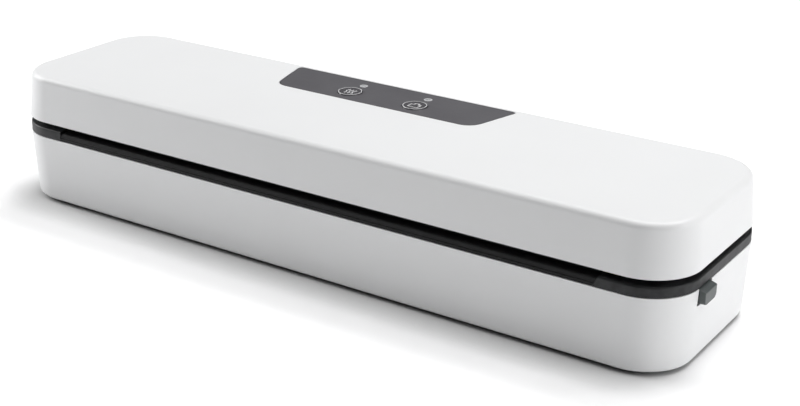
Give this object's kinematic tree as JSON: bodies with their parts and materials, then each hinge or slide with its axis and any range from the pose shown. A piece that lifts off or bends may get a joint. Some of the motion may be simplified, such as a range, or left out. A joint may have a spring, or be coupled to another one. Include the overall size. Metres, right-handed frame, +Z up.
{
  "type": "vacuum sealer",
  "caption": "Long low vacuum sealer: hinged lid with a panel of press keys, gasketed vacuum chamber, heated seal bar, pump in the base and end release buttons.",
  "frame": {"origin": "middle of the bounding box in X and Y, on the plane the feet stand on", "axes": "+X along the length to the right end as seen from the front, +Y to the hinge side at the back, +Z up"},
  "size_m": [0.406, 0.106, 0.0729],
  "materials": {
    "bag_lip": "satin charcoal moulding",
    "base_deck": "satin charcoal moulding",
    "base_shell": "satin white moulding",
    "board_screw_left": "plain",
    "board_screw_right": "plain",
    "bottom_cover": "satin dark grey moulding",
    "button_spring_left": "plain",
    "button_spring_right": "plain",
    "control_board": "green laminate",
    "control_panel": "satin dark grey moulding",
    "cover_screw_1": "plain",
    "cover_screw_2": "plain",
    "cover_screw_3": "plain",
    "cover_screw_4": "plain",
    "drip_tray": "satin dark grey moulding",
    "filter_capacitor": "satin charcoal moulding",
    "foot_back_left": "matt black",
    "foot_back_right": "matt black",
    "foot_front_left": "matt black",
    "foot_front_right": "matt black",
    "heater_lead_left": "coated glass cloth",
    "heater_lead_right": "coated glass cloth",
    "heater_relay": "satin dark grey moulding",
    "heating_strip": "plain",
    "hinge_pin_left": "plain",
    "hinge_pin_right": "plain",
    "inlet_lead": "matt black",
    "lid_lead": "matt black",
    "lid_liner": "satin charcoal moulding",
    "lid_screw_1": "plain",
    "lid_screw_2": "plain",
    "lid_screw_3": "plain",
    "lid_screw_4": "plain",
    "lid_shell": "satin white moulding",
    "lower_gasket": "fine-celled foam",
    "main_board": "green laminate",
    "power_inlet": "matt black",
    "power_transformer": "satin charcoal moulding",
    "pressure_strip": "matt black",
    "pump_crank": "plain",
    "pump_crankcase": "satin charcoal moulding",
    "pump_head": "satin dark grey moulding",
    "pump_hose": "translucent grey",
    "pump_lead": "matt black",
    "pump_motor": "plain",
    "release_button_left": "satin dark grey moulding",
    "release_button_right": "satin dark grey moulding",
    "seal_bar": "satin dark grey moulding",
    "seal_only_key": "satin dark grey moulding",
    "seal_only_light": "milky clear",
    "seal_only_switch": "satin charcoal moulding",
    "sealing_tape": "coated glass cloth",
    "strip_clamp_left": "plain",
    "strip_clamp_right": "plain",
    "upper_gasket": "fine-celled foam",
    "vacuum_seal_key": "satin dark grey moulding",
    "vacuum_seal_light": "milky clear",
    "vacuum_seal_switch": "satin charcoal moulding",
    "valve_hose": "translucent grey",
    "vent_valve": "satin dark grey moulding"
  },
  "bodies": {
    "base": {"bag_lip": "bag_lip", "base_deck": "base_deck", "base_shell": "base_shell", "bottom_cover": "bottom_cover", "button_spring_left": "button_spring_left", "button_spring_right": "button_spring_right", "cover_screw_1": "cover_screw_1", "cover_screw_2": "cover_screw_2", "cover_screw_3": "cover_screw_3", "cover_screw_4": "cover_screw_4", "drip_tray": "drip_tray", "filter_capacitor": "filter_capacitor", "foot_back_left": "foot_back_left", "foot_back_right": "foot_back_right", "foot_front_left": "foot_front_left", "foot_front_right": "foot_front_right", "heater_lead_left": "heater_lead_left", "heater_lead_right": "heater_lead_right", "heater_relay": "heater_relay", "heating_strip": "heating_strip", "hinge_pin_left": "hinge_pin_left", "hinge_pin_right": "hinge_pin_right", "inlet_lead": "inlet_lead", "lid_lead": "lid_lead", "lower_gasket": "lower_gasket", "main_board": "main_board", "power_inlet": "power_inlet", "power_transformer": "power_transformer", "pump_crankcase": "pump_crankcase", "pump_head": "pump_head", "pump_hose": "pump_hose", "pump_lead": "pump_lead", "pump_motor": "pump_motor", "seal_bar": "seal_bar", "sealing_tape": "sealing_tape", "strip_clamp_left": "strip_clamp_left", "strip_clamp_right": "strip_clamp_right", "valve_hose": "valve_hose", "vent_valve": "vent_valve"},
    "lid": {"lid_shell": "lid_shell", "lid_liner": "lid_liner", "upper_gasket": "upper_gasket", "pressure_strip": "pressure_strip", "lid_screw_1": "lid_screw_1", "lid_screw_2": "lid_screw_2", "lid_screw_3": "lid_screw_3", "lid_screw_4": "lid_screw_4", "control_panel": "control_panel", "control_board": "control_board", "board_screw_left": "board_screw_left", "board_screw_right": "board_screw_right", "vacuum_seal_switch": "vacuum_seal_switch", "seal_only_switch": "seal_only_switch", "vacuum_seal_light": "vacuum_seal_light", "seal_only_light": "seal_only_light"},
    "vacuum_seal_key": {"vacuum_seal_key": "vacuum_seal_key"},
    "seal_only_key": {"seal_only_key": "seal_only_key"},
    "release_button_left": {"release_button_left": "release_button_left"},
    "release_button_right": {"release_button_right": "release_button_right"},
    "pump_crank": {"pump_crank": "pump_crank"}
  },
  "joints": [
    {"name": "lid_hinge", "type": "hinge", "parent": "base", "child": "lid", "pos_m": [0, 0.0507, 0.0469], "axis": [-1, 0, 0], "range_deg": [0, 80], "deforming": ["lid_lead"]},
    {"name": "release_left", "type": "slide", "parent": "base", "child": "release_button_left", "axis": [1, 0, 0], "range_m": [0, 0.0025], "stiffness_N_per_m": 900, "springref_m": -0.0015, "deforming": ["button_spring_left"]},
    {"name": "release_right", "type": "slide", "parent": "base", "child": "release_button_right", "axis": [-1, 0, 0], "range_m": [0, 0.0025], "stiffness_N_per_m": 900, "springref_m": -0.0015, "deforming": ["button_spring_right"]},
    {"name": "vacuum_seal_press", "type": "slide", "parent": "lid", "child": "vacuum_seal_key", "axis": [0, 0, -1], "range_m": [0, 0.0007], "stiffness_N_per_m": 1500, "springref_m": -0.0005},
    {"name": "seal_only_press", "type": "slide", "parent": "lid", "child": "seal_only_key", "axis": [0, 0, -1], "range_m": [0, 0.0007], "stiffness_N_per_m": 1500, "springref_m": -0.0005},
    {"name": "pump_spin", "type": "hinge", "parent": "base", "child": "pump_crank", "pos_m": [0.075, 0.024, 0.0175], "axis": [1, 0, 0], "continuous": true}
  ]
}
